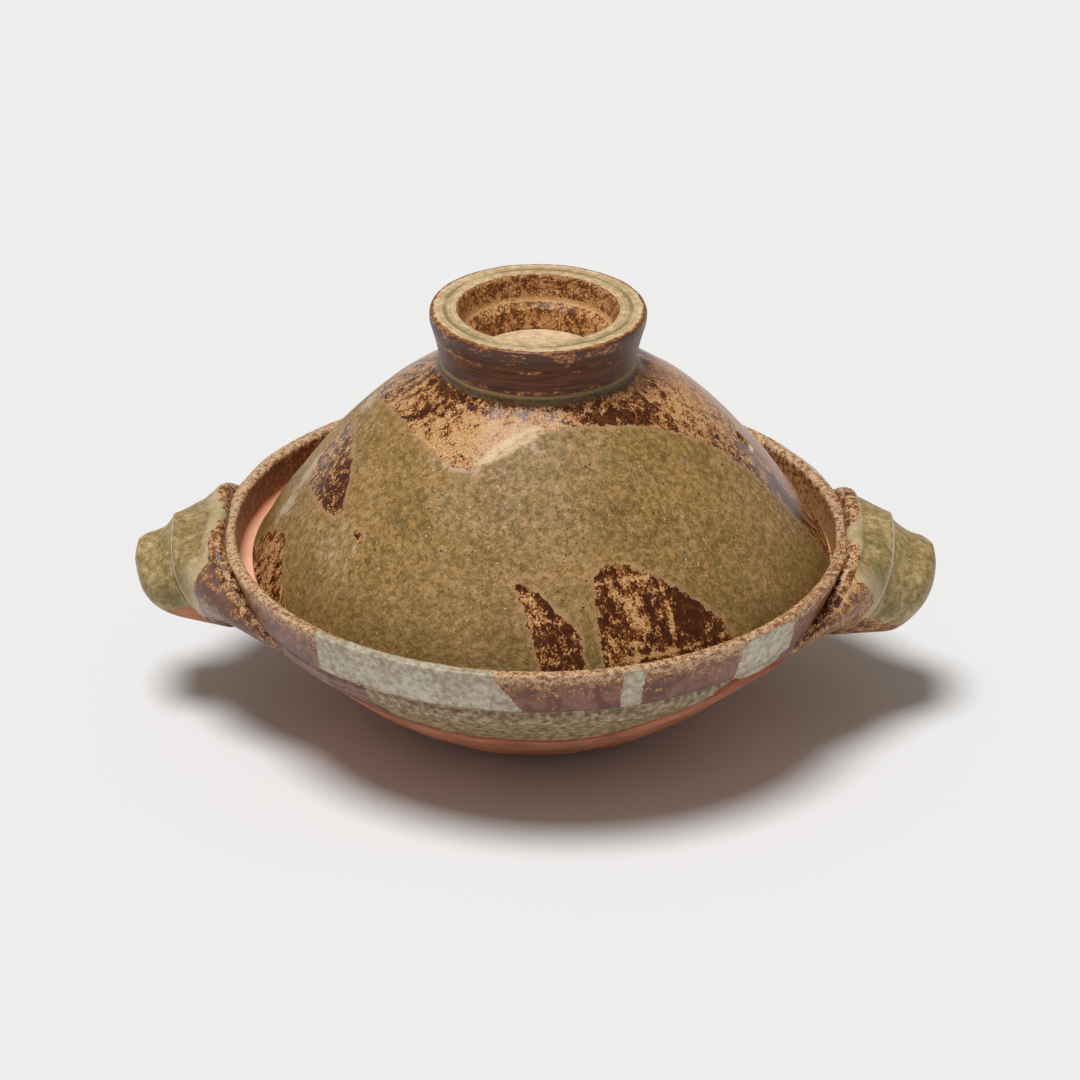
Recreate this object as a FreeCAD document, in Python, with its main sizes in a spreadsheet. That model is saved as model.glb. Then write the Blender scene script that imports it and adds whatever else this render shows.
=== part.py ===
# Earthenware hot pot: a thick bowl with two lug handles and a domed lid that lifts straight off.
# Millimetres and degrees. The origin is the middle of the flat underside, +Z is up and
# +X points to the right handle. The near side of the pot faces -Y.

import FreeCAD, Part
import math
import os
import Sketcher

doc = FreeCAD.newDocument("hot_pot")

# Driving dimensions. A radius is measured from the axis of its own piece.
SIZES = [
    ("pot_rise", 78.0),  # the table to the top of the rim
    ("rim_radius", 127.0),
    ("lip_rounding", 2.75),
    ("band_width", 18.3),  # the flared band, down from the top of the rim
    ("band_flare", 5.6),  # how much wider the rim is than the foot of the band
    ("band_groove", 1.8),  # how far the wall steps in under the band
    ("groove_width", 3.3),
    ("shoulder_drop", 8.2),  # from the foot of the band down to where the cone ends
    ("shoulder_taper", 2.1),
    ("belly_radius", 83.5),  # where the cone of the bowl starts above the rounded underside
    ("belly_level", 21.0),
    ("belly_rounding", 100.0),
    ("base_radius", 46.0),
    ("pot_wall", 7.0),
    ("floor_thickness", 8.0),
    ("gallery_depth", 14.0),  # the seat of the lid, down from the top of the rim
    ("gallery_taper", 1.1),
    ("ledge_width", 12.0),
    ("ledge_thickness", 9.0),
    ("lid_clearance", 3.4),  # between the foot of the lid and the gallery, all round
    ("lid_offset", 2.1),  # the lid lies a little to the right in its gallery
    ("lid_edge", 2.4),
    ("lid_wall", 7.0),
    ("lid_shoulder_radius", 88.7),
    ("lid_shoulder_rise", 44.0),  # above the seat of the lid
    ("lid_shoulder_slope", 51.0),
    ("lid_skirt_rounding", 262.0),
    ("crown_margin", 2.2),  # how much wider the crown is than the neck on it
    ("crown_rise", 86.2),  # above the seat of the lid
    ("crown_slope", 34.0),
    ("crown_rounding", 175.0),
    ("crown_hollow", 1.5),  # how much higher the ceiling is in the middle
    ("vent_radius", 3.0),
    ("vent_climb", 12.8),  # from the shoulder of the lid up to the steam hole
    ("vent_tilt", 49.0),  # from upright
    ("neck_radius", 38.6),
    ("neck_rise", 3.3),
    ("knob_offset", -1.75),  # the ring was thrown a little to the left of the middle of the lid
    ("knob_overhang", 0.5),  # how much wider the foot of the ring is than the neck
    ("knob_flare", 4.0),
    ("knob_rise", 21.4),
    ("knob_brim", 4.3),  # the upright brim at the top of the ring
    ("knob_edge", 1.4),
    ("knob_width", 11.5),  # the flat top of the ring, from its outside to its mouth
    ("knob_mouth_taper", 1.8),
    ("knob_step_rise", 11.4),
    ("knob_step_width", 3.3),
    ("knob_well_rise", 8.2),
    ("knob_well_taper", 1.5),
    ("handle_mouth_inset", 16.1),  # the mouth of a handle, inwards from the rim
    ("handle_mouth_drop", 18.5),  # each ring of a handle: how far down from the top of the rim,
    ("handle_mouth_lean", 39.0),  # how far it leans, its half width and its half depth
    ("handle_mouth_width", 58.5),
    ("handle_mouth_depth", 29.7),
    ("handle_throat_overhang", 0.3),  # the other rings of a handle, outwards from the rim
    ("handle_throat_drop", 16.7),
    ("handle_throat_lean", 24.0),
    ("handle_throat_width", 46.0),
    ("handle_throat_depth", 22.0),
    ("handle_waist_overhang", 7.3),
    ("handle_waist_drop", 18.2),
    ("handle_waist_lean", 16.6),
    ("handle_waist_width", 36.0),
    ("handle_waist_depth", 22.2),
    ("handle_collar_overhang", 14.4),
    ("handle_collar_drop", 21.2),
    ("handle_collar_lean", 9.0),
    ("handle_collar_radius", 25.7),
    ("handle_bead", 2.4),  # the rolled edge of the mouth
    ("handle_tip_length", 26.0),
    ("handle_tip_inset", 4.4),  # the middle of the rounded tip, inwards from the collar
    ("handle_tip_drop", 0.8),  # and down from it
    ("handle_tip_rise", 12.0),  # how far the tip points up
    ("handle_tip_step", 0.7),  # how much narrower the tip is than the collar
    ("handle_tip_flatness", 3.5),  # how much less deep than wide
]

# Places worked out from the driving dimensions
PLACES = [
    ("band_level", "sizes.pot_rise - sizes.band_width"),
    ("band_foot_radius", "sizes.rim_radius - sizes.band_flare"),
    ("lip_level", "sizes.pot_rise - sizes.lip_rounding"),
    ("lip_top_radius", "sizes.rim_radius - sizes.lip_rounding"),
    ("lip_inner_radius", "sizes.rim_radius - 2 * sizes.lip_rounding"),
    ("groove_radius", "places.band_foot_radius - sizes.band_groove"),
    ("groove_level", "places.band_level - sizes.groove_width"),
    ("shoulder_radius", "places.groove_radius - sizes.shoulder_taper"),
    ("shoulder_level", "places.band_level - sizes.shoulder_drop"),
    ("belly_run", "places.shoulder_radius - sizes.belly_radius"),
    ("belly_slope", "atan((places.shoulder_level - sizes.belly_level) / places.belly_run)"),
    ("seat_level", "sizes.pot_rise - sizes.gallery_depth"),
    ("gallery_radius", "places.lip_inner_radius - sizes.gallery_taper"),
    ("ledge_radius", "places.gallery_radius - sizes.ledge_width"),
    ("ledge_foot_level", "places.seat_level - sizes.ledge_thickness"),
    ("inner_belly_radius", "sizes.belly_radius - sizes.pot_wall * sin(places.belly_slope)"),
    ("inner_belly_level", "sizes.belly_level + sizes.pot_wall * cos(places.belly_slope)"),
    ("inner_belly_rounding", "sizes.belly_rounding - sizes.pot_wall"),
    ("lid_radius", "places.gallery_radius - sizes.lid_clearance"),
    ("lid_foot_radius", "places.lid_radius - sizes.lid_edge"),
    ("lid_edge_level", "places.seat_level + sizes.lid_edge"),
    ("lid_inner_radius", "places.lid_foot_radius - sizes.lid_wall + sizes.lid_edge / 2"),
    ("lid_shoulder_level", "places.seat_level + sizes.lid_shoulder_rise"),
    ("shoulder_across", "sizes.lid_wall * sin(sizes.lid_shoulder_slope * 1 deg)"),
    ("shoulder_down", "sizes.lid_wall * cos(sizes.lid_shoulder_slope * 1 deg)"),
    ("inner_shoulder_radius", "sizes.lid_shoulder_radius - places.shoulder_across"),
    ("inner_shoulder_level", "places.lid_shoulder_level - places.shoulder_down"),
    ("inner_skirt_rounding", "sizes.lid_skirt_rounding - sizes.lid_wall"),
    ("crown_radius", "sizes.neck_radius + sizes.crown_margin"),
    ("crown_level", "places.seat_level + sizes.crown_rise"),
    ("inner_crown_radius", "places.crown_radius - sizes.lid_wall * sin(sizes.crown_slope * 1 deg)"),
    ("inner_crown_level", "places.crown_level - sizes.lid_wall * cos(sizes.crown_slope * 1 deg)"),
    ("inner_crown_rounding", "sizes.crown_rounding - sizes.lid_wall"),
    ("ceiling_level", "places.inner_crown_level + sizes.crown_hollow"),
    ("vent_reach", "sizes.lid_shoulder_radius - sizes.vent_climb * cos(sizes.vent_tilt * 1 deg)"),
    ("vent_level", "places.lid_shoulder_level + sizes.vent_climb * sin(sizes.vent_tilt * 1 deg)"),
    ("vent_half_length", "2 * sizes.lid_wall"),
    ("vent_start_reach", "places.vent_reach - places.vent_half_length * sin(sizes.vent_tilt * 1 deg)"),
    ("vent_start_level", "places.vent_level - places.vent_half_length * cos(sizes.vent_tilt * 1 deg)"),
    ("knob_level", "places.crown_level + sizes.neck_rise"),
    ("knob_foot_radius", "sizes.neck_radius + sizes.knob_overhang"),
    ("knob_radius", "places.knob_foot_radius + sizes.knob_flare"),
    ("knob_top_level", "places.knob_level + sizes.knob_rise"),
    ("knob_brim_level", "places.knob_top_level - sizes.knob_brim"),
    ("knob_edge_level", "places.knob_top_level - sizes.knob_edge"),
    ("knob_top_radius", "places.knob_radius - sizes.knob_edge"),
    ("knob_mouth_radius", "places.knob_radius - sizes.knob_width"),
    ("knob_mouth_top_radius", "places.knob_mouth_radius + sizes.knob_edge / 2"),
    ("knob_mouth_level", "places.knob_top_level - sizes.knob_edge / 2"),
    ("knob_step_radius", "places.knob_mouth_radius - sizes.knob_mouth_taper"),
    ("knob_step_level", "places.knob_level + sizes.knob_step_rise"),
    ("knob_well_radius", "places.knob_step_radius - sizes.knob_step_width"),
    ("knob_well_level", "places.knob_level + sizes.knob_well_rise"),
    ("knob_well_foot_radius", "places.knob_well_radius - sizes.knob_well_taper"),
    ("handle_mouth_reach", "sizes.rim_radius - sizes.handle_mouth_inset"),
    ("handle_throat_reach", "sizes.rim_radius + sizes.handle_throat_overhang"),
    ("handle_waist_reach", "sizes.rim_radius + sizes.handle_waist_overhang"),
    ("handle_collar_reach", "sizes.rim_radius + sizes.handle_collar_overhang"),
    ("handle_mouth_level", "sizes.pot_rise - sizes.handle_mouth_drop"),
    ("handle_throat_level", "sizes.pot_rise - sizes.handle_throat_drop"),
    ("handle_waist_level", "sizes.pot_rise - sizes.handle_waist_drop"),
    ("handle_collar_level", "sizes.pot_rise - sizes.handle_collar_drop"),
    ("handle_tip_reach", "places.handle_collar_reach - sizes.handle_tip_inset"),
    ("handle_tip_level", "places.handle_collar_level - sizes.handle_tip_drop"),
    ("handle_tip_width", "sizes.handle_collar_radius - sizes.handle_tip_step"),
    ("handle_tip_depth", "places.handle_tip_width - sizes.handle_tip_flatness"),
    ("above_rim_level", "sizes.pot_rise + sizes.handle_mouth_depth"),
]


def make_sheet(name, rows, prefix=""):
    """A spreadsheet with one named value in each row."""
    sheet = doc.addObject("Spreadsheet::Sheet", name)
    for row, (alias, content) in enumerate(rows, start=1):
        sheet.set("A%d" % row, alias)
        sheet.setAlias("B%d" % row, alias)
        sheet.set("B%d" % row, prefix + str(content).replace(name + ".", ""))
    doc.recompute()
    return sheet


SHEETS = {"sizes": make_sheet("sizes", SIZES), "places": make_sheet("places", PLACES, "=")}


def value(name):
    """The number that a name such as sizes.rim_radius stands for, 0 being the axis or the table."""
    if name == "0":
        return 0.0
    sheet_name, alias = name.split(".")
    return float(SHEETS[sheet_name].get(alias))


def bind_all(thing, rules):
    """Binds each property of the thing to its formula."""
    for target, formula in rules.items():
        thing.setExpression(target, formula)


def origin_plane(body, role):
    """The plane of the body's own origin that has this role."""
    return [plane for plane in body.Origin.OriginFeatures if plane.Role == role][0]


def arc_between(start, end, radius):
    """The circle arc from start to end. A positive radius turns left on the way, a negative one right."""
    along = (end[0] - start[0], end[1] - start[1])
    length = math.hypot(*along)
    reach = math.sqrt(max(radius * radius - length * length / 4, 0)) / length
    side = math.copysign(1, radius)
    centre_x = (start[0] + end[0]) / 2 - side * along[1] * reach
    centre_y = (start[1] + end[1]) / 2 + side * along[0] * reach
    circle = Part.Circle(FreeCAD.Vector(centre_x, centre_y, 0), FreeCAD.Vector(0, 0, 1), abs(radius))
    first = math.atan2(start[1] - centre_y, start[0] - centre_x)
    last = math.atan2(end[1] - centre_y, end[0] - centre_x)
    return Part.ArcOfCircle(circle, first, last) if side > 0 else Part.ArcOfCircle(circle, last, first)


def draw_outline(body, name, corners):
    """A closed half outline in the XZ plane: radius to the right, level up.

    Each corner is (radius, level) or (radius, level, rounding), where the rounding is that of the arc
    that leaves the corner: its name, with a minus sign in front where the arc turns right."""
    sketch = body.newObject("Sketcher::SketchObject", name)
    sketch.AttachmentSupport = (origin_plane(body, "XZ_Plane"), [""])
    sketch.MapMode = "FlatFace"
    spots = [(value(corner[0]), value(corner[1])) for corner in corners]
    begins = []
    ends = []
    for index, corner in enumerate(corners):
        start = spots[index]
        end = spots[(index + 1) % len(corners)]
        turn = 1
        if len(corner) == 2:
            piece = Part.LineSegment(FreeCAD.Vector(*start, 0), FreeCAD.Vector(*end, 0))
        else:
            turn = -1 if corner[2].startswith("-") else 1
            piece = arc_between(start, end, turn * value(corner[2].lstrip("-")))
        edge = sketch.addGeometry(piece)
        begins.append((edge, 1 if turn > 0 else 2))
        ends.append((edge, 2 if turn > 0 else 1))
    for index, corner in enumerate(corners):
        sketch.addConstraint(Sketcher.Constraint("Coincident", *ends[index - 1], *begins[index]))
        for kind, axis, where in (("DistanceX", -2, corner[0]), ("DistanceY", -1, corner[1])):
            if where == "0":
                sketch.addConstraint(Sketcher.Constraint("PointOnObject", *begins[index], axis))
            else:
                rule = sketch.addConstraint(Sketcher.Constraint(kind, -1, 1, *begins[index], value(where)))
                sketch.setExpression("Constraints[%d]" % rule, where)
        if len(corner) == 3:
            rounding = corner[2].lstrip("-")
            rule = sketch.addConstraint(Sketcher.Constraint("Radius", begins[index][0], value(rounding)))
            sketch.setExpression("Constraints[%d]" % rule, rounding)
    return sketch


def turn_body(name, corners):
    """A body turned about the upright axis from one half outline."""
    body = doc.addObject("PartDesign::Body", name)
    body.Label = name
    sketch = draw_outline(body, name + "_outline", corners)
    turned = body.newObject("PartDesign::Revolution", name + "_turned")
    turned.Profile = sketch
    turned.ReferenceAxis = (sketch, ["V_Axis"])
    turned.Angle = 360
    sketch.Visibility = False
    doc.recompute()
    return body


# The bowl: a cone on a rounded underside, a flared rim band, and a gallery with a ledge for the lid

OUTSIDE = [
    ("0", "0"),
    ("sizes.base_radius", "0", "sizes.belly_rounding"),
    ("sizes.belly_radius", "sizes.belly_level"),
    ("places.shoulder_radius", "places.shoulder_level"),
    ("places.groove_radius", "places.groove_level"),
    ("places.groove_radius", "places.band_level"),
    ("places.band_foot_radius", "places.band_level"),
    ("sizes.rim_radius", "places.lip_level", "sizes.lip_rounding"),
]
INSIDE = [
    ("places.lip_top_radius", "sizes.pot_rise", "sizes.lip_rounding"),
    ("places.lip_inner_radius", "places.lip_level"),
    ("places.gallery_radius", "places.seat_level"),
    ("places.ledge_radius", "places.seat_level"),
    ("places.ledge_radius", "places.ledge_foot_level"),
    ("places.inner_belly_radius", "places.inner_belly_level", "-places.inner_belly_rounding"),
    ("sizes.base_radius", "sizes.floor_thickness"),
    ("0", "sizes.floor_thickness"),
]
pot_bowl = turn_body("pot_bowl", OUTSIDE + INSIDE)

# The lid: a dome with a flat foot, a neck for the ring and a steam hole

lid_dome = turn_body("lid_dome", [
    ("0", "places.ceiling_level"),
    ("places.inner_crown_radius", "places.inner_crown_level", "-places.inner_crown_rounding"),
    ("places.inner_shoulder_radius", "places.inner_shoulder_level", "-places.inner_skirt_rounding"),
    ("places.lid_inner_radius", "places.seat_level"),
    ("places.lid_foot_radius", "places.seat_level", "sizes.lid_edge"),
    ("places.lid_radius", "places.lid_edge_level", "sizes.lid_skirt_rounding"),
    ("sizes.lid_shoulder_radius", "places.lid_shoulder_level", "sizes.crown_rounding"),
    ("places.crown_radius", "places.crown_level"),
    ("0", "places.crown_level"),
])

neck_outline = lid_dome.newObject("Sketcher::SketchObject", "neck_outline")
neck_outline.AttachmentSupport = (origin_plane(lid_dome, "XY_Plane"), [""])
neck_outline.MapMode = "FlatFace"
neck_outline.setExpression("AttachmentOffset.Base.z", "places.crown_level")
neck_centre = FreeCAD.Vector(value("sizes.knob_offset"), 0, 0)
neck_outline.addGeometry(Part.Circle(neck_centre, FreeCAD.Vector(0, 0, 1), value("sizes.neck_radius")))
neck_outline.addConstraint([
    Sketcher.Constraint("PointOnObject", 0, 3, -1),
    Sketcher.Constraint("DistanceX", -1, 1, 0, 3, neck_centre.x),
    Sketcher.Constraint("Radius", 0, value("sizes.neck_radius")),
])
bind_all(neck_outline, {"Constraints[1]": "sizes.knob_offset", "Constraints[2]": "sizes.neck_radius"})
neck = lid_dome.newObject("PartDesign::Pad", "neck")
neck.Profile = neck_outline
neck.setExpression("Length", "sizes.neck_rise")
neck_outline.Visibility = False
doc.recompute()

steam_vent = lid_dome.newObject("PartDesign::SubtractiveCylinder", "steam_vent")
steam_vent.Placement.Rotation = FreeCAD.Rotation(FreeCAD.Vector(0, 1, 0), value("sizes.vent_tilt"))
bind_all(steam_vent, {
    "Radius": "sizes.vent_radius",
    "Height": "2 * places.vent_half_length",
    "Placement.Base.x": "places.vent_start_reach",
    "Placement.Base.z": "places.vent_start_level",
    "Placement.Rotation.Angle": "sizes.vent_tilt * 1 deg",
})
doc.recompute()
lid_dome.setExpression("Placement.Base.x", "sizes.lid_offset")

# The ring knob, which is also the foot of the upturned lid

lid_knob_ring = turn_body("lid_knob_ring", [
    ("places.knob_well_foot_radius", "places.knob_level"),
    ("places.knob_foot_radius", "places.knob_level"),
    ("places.knob_radius", "places.knob_brim_level"),
    ("places.knob_radius", "places.knob_edge_level", "sizes.knob_edge"),
    ("places.knob_top_radius", "places.knob_top_level"),
    ("places.knob_mouth_top_radius", "places.knob_top_level"),
    ("places.knob_mouth_radius", "places.knob_mouth_level"),
    ("places.knob_step_radius", "places.knob_step_level"),
    ("places.knob_well_radius", "places.knob_well_level"),
])
lid_knob_ring.setExpression("Placement.Base.x", "sizes.lid_offset + sizes.knob_offset")
doc.recompute()


# The handles: thrown lugs with a wide flared mouth over the rim, a collar and a closed rounded tip

def add_ring(name, kind, radii):
    """A ring of the right handle, across the X axis with its wide way along Y, leaning outwards."""
    ring = doc.addObject(kind, "handle_" + name)
    ring.Placement.Rotation = FreeCAD.Rotation(90, 0, 90)
    bind_all(ring, radii)
    bind_all(ring, {
        "Placement.Base.x": "places.handle_%s_reach" % name,
        "Placement.Base.z": "places.handle_%s_level" % name,
        "Placement.Rotation.Roll": "(90 + sizes.handle_%s_lean) * 1 deg" % name,
    })
    return ring


rings = []
for name in ("mouth", "throat", "waist"):
    half_sizes = {"MajorRadius": "sizes.handle_%s_width" % name, "MinorRadius": "sizes.handle_%s_depth" % name}
    rings.append(add_ring(name, "Part::Ellipse", half_sizes))
rings.append(add_ring("collar", "Part::Circle", {"Radius": "sizes.handle_collar_radius"}))

trumpet = doc.addObject("Part::Loft", "handle_trumpet")
trumpet.Sections = rings
trumpet.Solid = True

bead_section = doc.addObject("Part::Circle", "handle_bead_section")
bead_section.Placement.Rotation = FreeCAD.Rotation(FreeCAD.Vector(0, 1, 0), value("sizes.handle_mouth_lean"))
bind_all(bead_section, {
    "Radius": "sizes.handle_bead",
    "Placement.Base.x": "places.handle_mouth_reach",
    "Placement.Base.y": "sizes.handle_mouth_width",
    "Placement.Base.z": "places.handle_mouth_level",
    "Placement.Rotation.Angle": "sizes.handle_mouth_lean * 1 deg",
})
doc.recompute()
bead = doc.addObject("Part::Sweep", "handle_bead")
bead.Sections = [bead_section]
bead.Spine = (rings[0], ["Edge1"])
bead.Solid = True
bead.Frenet = True

tip = doc.addObject("Part::Ellipsoid", "handle_tip")
tip.Placement.Rotation = FreeCAD.Rotation(FreeCAD.Vector(0, -1, 0), value("sizes.handle_tip_rise"))
bind_all(tip, {
    "Radius1": "places.handle_tip_depth",
    "Radius2": "sizes.handle_tip_length",
    "Radius3": "places.handle_tip_width",
    "Placement.Base.x": "places.handle_tip_reach",
    "Placement.Base.z": "places.handle_tip_level",
    "Placement.Rotation.Angle": "sizes.handle_tip_rise * 1 deg",
})

lug = doc.addObject("Part::MultiFuse", "handle_lug")
lug.Shapes = [trumpet, bead, tip]

# What a handle is cut back from: the pot itself and the free way above its mouth
pot_envelope = turn_body("pot_envelope", OUTSIDE + [
    ("places.lip_top_radius", "sizes.pot_rise"),
    ("places.lip_top_radius", "places.above_rim_level"),
    ("0", "places.above_rim_level"),
])

handle_right = doc.addObject("Part::Cut", "handle_right")
handle_right.Base = lug
handle_right.Tool = pot_envelope
handle_left = doc.addObject("Part::Mirroring", "handle_left")
handle_left.Source = handle_right
handle_left.Normal = FreeCAD.Vector(1, 0, 0)
doc.recompute()

# Every piece is checked before it is written

PIECES = [pot_bowl, handle_left, handle_right, lid_dome, lid_knob_ring]
for thing in doc.Objects:
    if "Invalid" in thing.State or "Error" in thing.State:
        raise RuntimeError("%s could not be made" % thing.Label)
for piece in PIECES:
    if piece.Shape.isNull() or not piece.Shape.isValid():
        raise RuntimeError("%s has no sound shape" % piece.Label)
os.makedirs("parts", exist_ok=True)
for piece in PIECES:
    piece.Shape.exportStep("parts/" + piece.Label + ".step")
    box = piece.Shape.BoundBox
    print("%s: %d solid, %.0f mm3, %.1f to %.1f high" % (
        piece.Label, len(piece.Shape.Solids), piece.Shape.Volume, box.ZMin, box.ZMax))
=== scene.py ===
# The looks of an earthenware hot pot: thrown clay under poured ash glaze, with a lift-off lid.
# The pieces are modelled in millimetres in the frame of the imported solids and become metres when
# their meshes are made. A turn of 0 degrees faces the near side, -Y, and a positive one goes right.

import math

import bpy
import numpy as np
from mathutils import Matrix, Vector


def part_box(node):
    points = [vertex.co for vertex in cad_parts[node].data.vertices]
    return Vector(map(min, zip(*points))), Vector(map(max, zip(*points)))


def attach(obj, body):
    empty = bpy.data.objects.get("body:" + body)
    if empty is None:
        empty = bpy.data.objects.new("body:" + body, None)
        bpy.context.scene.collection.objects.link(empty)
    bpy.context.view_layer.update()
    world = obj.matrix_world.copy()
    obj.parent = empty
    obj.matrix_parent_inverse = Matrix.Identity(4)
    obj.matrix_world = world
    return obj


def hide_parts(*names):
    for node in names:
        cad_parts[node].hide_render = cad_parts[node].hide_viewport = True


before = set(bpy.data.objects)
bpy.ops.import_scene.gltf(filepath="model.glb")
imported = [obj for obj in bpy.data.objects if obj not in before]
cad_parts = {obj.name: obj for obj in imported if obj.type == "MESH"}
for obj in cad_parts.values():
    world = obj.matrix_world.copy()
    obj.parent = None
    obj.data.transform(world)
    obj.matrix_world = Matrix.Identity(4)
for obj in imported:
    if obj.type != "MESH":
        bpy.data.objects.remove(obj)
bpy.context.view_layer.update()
MM = 0.001

# Driving sizes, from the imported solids

pot_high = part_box("pot_bowl")[1] / MM
lid_low, lid_high = (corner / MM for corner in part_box("lid_dome"))
knob_low, knob_high = (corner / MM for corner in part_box("lid_knob_ring"))
RIM = pot_high.x
TOP = pot_high.z
SEAT = lid_low.z
LID_RADIUS = (lid_high.x - lid_low.x) / 2
LID_X = (lid_high.x + lid_low.x) / 2
CROWN = knob_low.z
KNOB_RADIUS = (knob_high.x - knob_low.x) / 2
KNOB_X = (knob_high.x + knob_low.x) / 2
KNOB_TOP = knob_high.z


# Outlines

def curve_through(points, step):
    """Points about a step apart on a smooth curve through the given ones."""
    points = np.array(points, float)
    chords = np.linalg.norm(np.diff(points, axis=0), axis=1)
    slopes = np.diff(points, axis=0) / chords[:, None]
    tangents = np.empty_like(points)
    if len(points) == 2:
        tangents[:] = slopes[0]
    else:
        weights = (chords[1:] + chords[:-1])[:, None]
        tangents[1:-1] = (slopes[:-1] * chords[1:, None] + slopes[1:] * chords[:-1, None]) / weights
        tangents[0] = 1.5 * slopes[0] - 0.5 * tangents[1]
        tangents[-1] = 1.5 * slopes[-1] - 0.5 * tangents[-2]
    starts = np.concatenate([[0], np.cumsum(chords)])
    places = np.linspace(0, starts[-1], max(2, math.ceil(starts[-1] / step) + 1))
    spans = np.clip(np.searchsorted(starts, places, side="right") - 1, 0, len(chords) - 1)
    lengths = chords[spans][:, None]
    t = ((places - starts[spans]) / chords[spans])[:, None]
    return ((1 + 2 * t) * (1 - t) ** 2 * points[spans] + t * (1 - t) ** 2 * lengths * tangents[spans]
            + t * t * (3 - 2 * t) * points[spans + 1] + t * t * (t - 1) * lengths * tangents[spans + 1])


def soften(line, closed, reach):
    """The evenly dense line with its corners rounded off over about this reach."""
    gaps = np.linalg.norm(np.diff(line, axis=0), axis=1)
    half = max(1, round(2.5 * reach / gaps.mean()))
    weights = np.exp(-0.5 * (np.arange(-half, half + 1) * gaps.mean() / reach) ** 2)
    weights /= weights.sum()
    if closed:
        padded = np.concatenate([line[-half - 1:-1], line, line[1:half + 1]])
    else:
        mirror = np.array([-1, 1])
        padded = np.concatenate([line[half:0:-1] * mirror, line, line[-2:-half - 2:-1] * mirror])
    return np.stack([np.convolve(padded[:, k], weights, "valid") for k in range(line.shape[1])], axis=-1)


FINE = 0.25  # the spacing at which outlines are worked out
BEND_ROWS = 5  # extra rows for each radian that an outline turns


def outline(stretches, closed=False, softness=0.5):
    """Rows (radius, level) of a half outline. Each stretch is (row spacing, points) and starts where
    the one before it ends. An open outline starts and ends on the axis. Rows lie closer in bends."""
    dense = [np.array(stretches[0][1][:1], float)]
    spacing = [[stretches[0][0]]]
    for step, points in stretches:
        run = curve_through([dense[-1][-1], *points] if len(dense) > 1 else points, FINE)[1:]
        dense.append(run)
        spacing.append([step] * len(run))
    line = soften(np.concatenate(dense), closed, softness)
    spacing = np.concatenate(spacing)
    along = np.diff(line, axis=0)
    gaps = np.linalg.norm(along, axis=1)
    headings = np.unwrap(np.arctan2(along[:, 1], along[:, 0]))
    turns = np.abs(np.gradient(headings))
    rows_up_to = np.concatenate([[0], np.cumsum(gaps / spacing[1:] + BEND_ROWS * turns)])
    marks = np.linspace(0, rows_up_to[-1], round(rows_up_to[-1]) + 1)
    return np.stack([np.interp(marks, rows_up_to, line[:, k]) for k in range(2)], axis=-1)


# Meshes

def waves(seed, count, shortest, longest, turn, along, radius):
    """An uneven field of about -1 to 1 that closes round the axis, made of waves."""
    draw = np.random.default_rng(seed)
    field = np.zeros(np.broadcast(turn, along).shape)
    for _ in range(count):
        length = shortest * (longest / shortest) ** draw.random()
        lean, start = draw.random(2) * 2 * math.pi
        rounds = round(2 * math.pi * radius / length * math.cos(lean))
        field += np.cos(rounds * turn + 2 * math.pi * math.sin(lean) / length * along + start)
    return field * math.sqrt(2 / count) / 2


def grid_faces(rows, columns, closed):
    """Quads between the rows of a grid that closes round in its columns, and in its rows if asked."""
    across = np.arange(columns)
    after = (across + 1) % columns
    faces = []
    for row in range(rows if closed else rows - 1):
        here = row * columns
        above = (row + 1) % rows * columns
        faces += np.stack([here + across, here + after, above + after, above + across], -1).tolist()
    return faces


def fan_faces(pole, ring_start, columns, upwards):
    """Triangles from a pole to a ring of corners."""
    across = ring_start + np.arange(columns)
    after = ring_start + (np.arange(columns) + 1) % columns
    poles = np.full(columns, pole)
    order = [across, after, poles] if upwards else [after, across, poles]
    return np.stack(order, -1).tolist()


def make_piece(name, grid, fields, ends=None, mirrored=False):
    """An object with smooth faces over a grid of corners, with a pole at each end, or closed in its
    rows if it has no ends. A field is one named number at each corner."""
    rows, columns = grid.shape[:2]
    corners = grid.reshape(-1, 3)
    faces = grid_faces(rows, columns, ends is None)
    fields = {field: np.broadcast_to(numbers, (rows, columns)).ravel() for field, numbers in fields.items()}
    if ends is not None:
        poles = len(corners)
        corners = np.concatenate([corners, ends])
        fields = {field: np.append(numbers, numbers[[0, -1]]) for field, numbers in fields.items()}
        faces += fan_faces(poles, 0, columns, False)
        faces += fan_faces(poles + 1, poles - columns, columns, True)
    if mirrored:
        corners = corners * [-1, 1, 1]
        faces = [face[::-1] for face in faces]
    mesh = bpy.data.meshes.new(name)
    mesh.from_pydata((corners * MM).tolist(), [], faces)
    mesh.shade_smooth()
    for field, numbers in fields.items():
        attribute = mesh.attributes.new(field, "FLOAT", "POINT")
        attribute.data.foreach_set("value", numbers.astype(np.float32))
    piece = bpy.data.objects.new(name, mesh)
    bpy.context.scene.collection.objects.link(piece)
    return piece


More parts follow.
